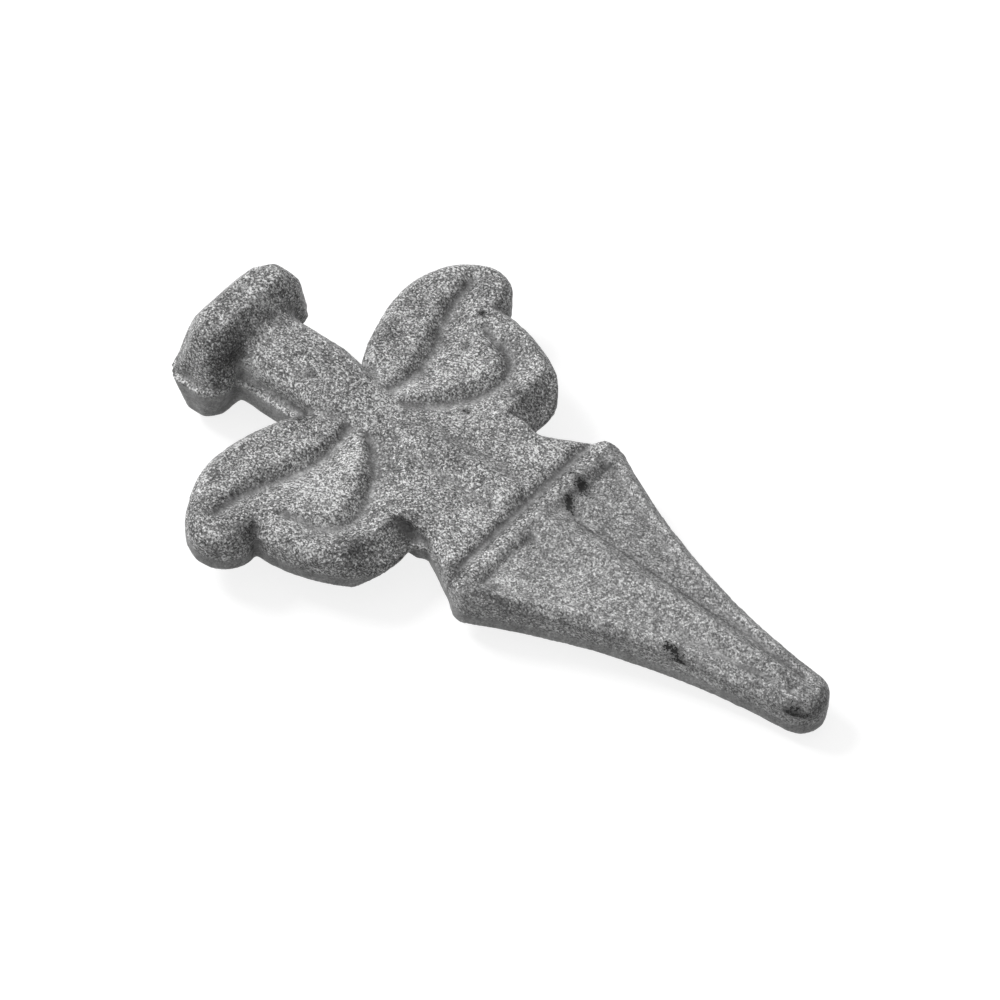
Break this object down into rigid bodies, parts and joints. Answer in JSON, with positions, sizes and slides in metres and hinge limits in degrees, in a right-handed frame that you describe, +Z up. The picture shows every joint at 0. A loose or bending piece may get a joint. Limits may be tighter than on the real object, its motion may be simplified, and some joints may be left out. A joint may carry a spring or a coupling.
{
  "type": "railing spear finial",
  "caption": "Forged spear-shaped picket top with scrolled leaf wings, a collar to weld to a fence bar and a ribbed, panelled blade.",
  "frame": {"origin": "centre of the flat weld face, on the parting plane", "axes": "+X from the weld face to the point, +Y across the wings, +Z up through the thickness"},
  "size_m": [0.15, 0.0904, 0.024],
  "materials": {
    "forged_steel": "bare grey metal with a coarse blasted skin and dark scale in the hollows"
  },
  "bodies": {
    "root": {"spear_finial": "forged_steel"}
  },
  "joints": []
}
